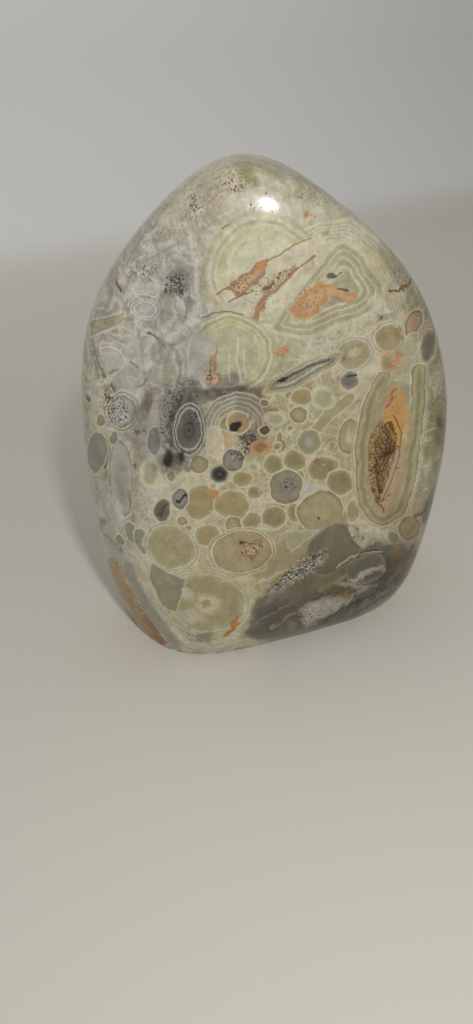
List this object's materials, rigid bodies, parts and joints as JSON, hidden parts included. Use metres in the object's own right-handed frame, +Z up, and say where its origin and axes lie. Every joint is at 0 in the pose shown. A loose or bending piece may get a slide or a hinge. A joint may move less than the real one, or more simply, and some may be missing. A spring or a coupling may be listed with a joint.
{
  "type": "onyx freeform",
  "caption": "Upright freeform of banded, cell-patterned onyx, ground to soft facets, polished all round and sawn flat at the foot, with a crystal-lined cavity in its broad face.",
  "frame": {"origin": "middle of the stone's box, on the surface that its sawn foot stands on", "axes": "+Z up along the stone's height, +X along its width, -Y out of the broad face with the cavity"},
  "size_m": [0.164, 0.0856, 0.2001],
  "materials": {
    "polished_onyx": "polished, cream and olive green with grey, charcoal and orange-brown marks",
    "brown_crystals": "rough, granular, dark brown to orange"
  },
  "bodies": {
    "root": {"stone": "polished_onyx", "vug_crust": "brown_crystals"}
  },
  "joints": []
}
